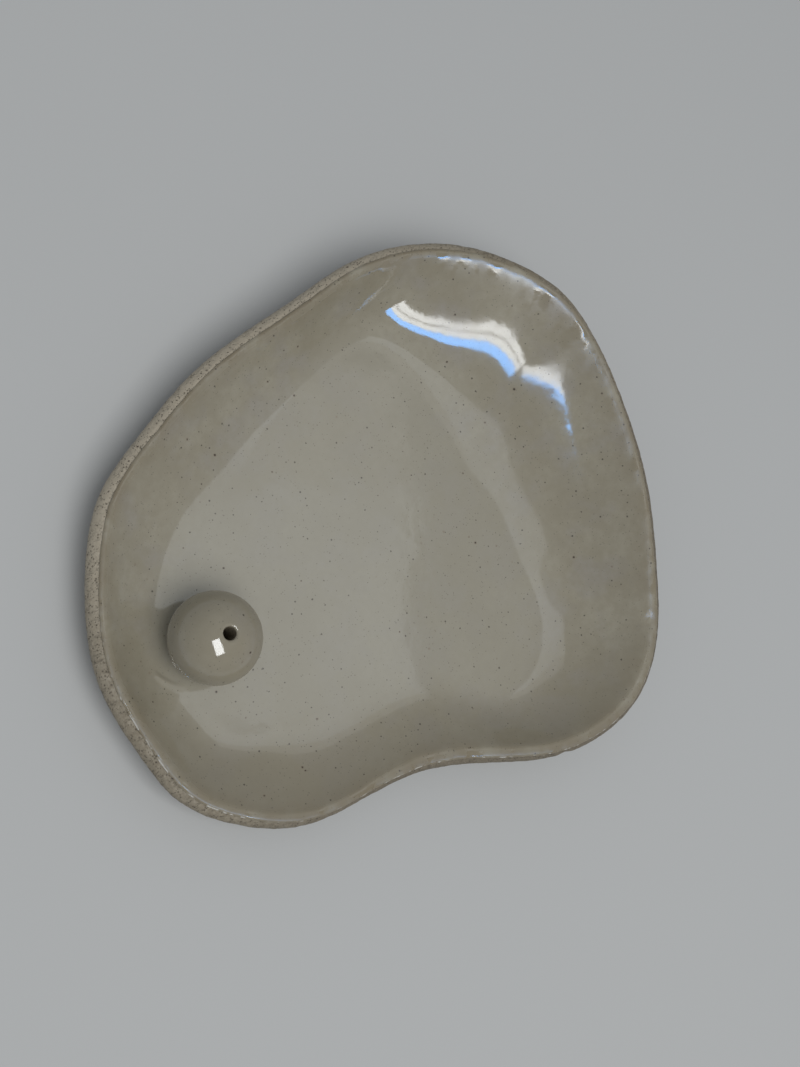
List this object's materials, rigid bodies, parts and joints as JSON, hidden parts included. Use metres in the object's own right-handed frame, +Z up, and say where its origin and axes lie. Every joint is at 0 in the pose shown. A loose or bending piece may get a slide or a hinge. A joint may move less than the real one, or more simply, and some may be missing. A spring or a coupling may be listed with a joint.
{
  "type": "incense stick holder",
  "caption": "Shallow free-form stoneware dish with a raised rim and a pierced ball fired on near one end, which holds an incense stick upright while the dish catches its ash.",
  "frame": {"origin": "on the table, under the middle of the dish's length and width", "axes": "+X along the dish's length, away from the ball; +Z up, out of the dish and along the stick hole"},
  "size_m": [0.143, 0.1231, 0.0226],
  "materials": {
    "bare_stoneware": "matte",
    "speckled_glaze": "gloss",
    "fired_slip": "matte"
  },
  "bodies": {
    "root": {"dish_slab": "bare_stoneware", "dish_glaze": "speckled_glaze", "stick_ball": "bare_stoneware", "ball_glaze": "speckled_glaze", "slip_joint": "fired_slip", "glaze_fillet": "speckled_glaze"}
  },
  "joints": []
}
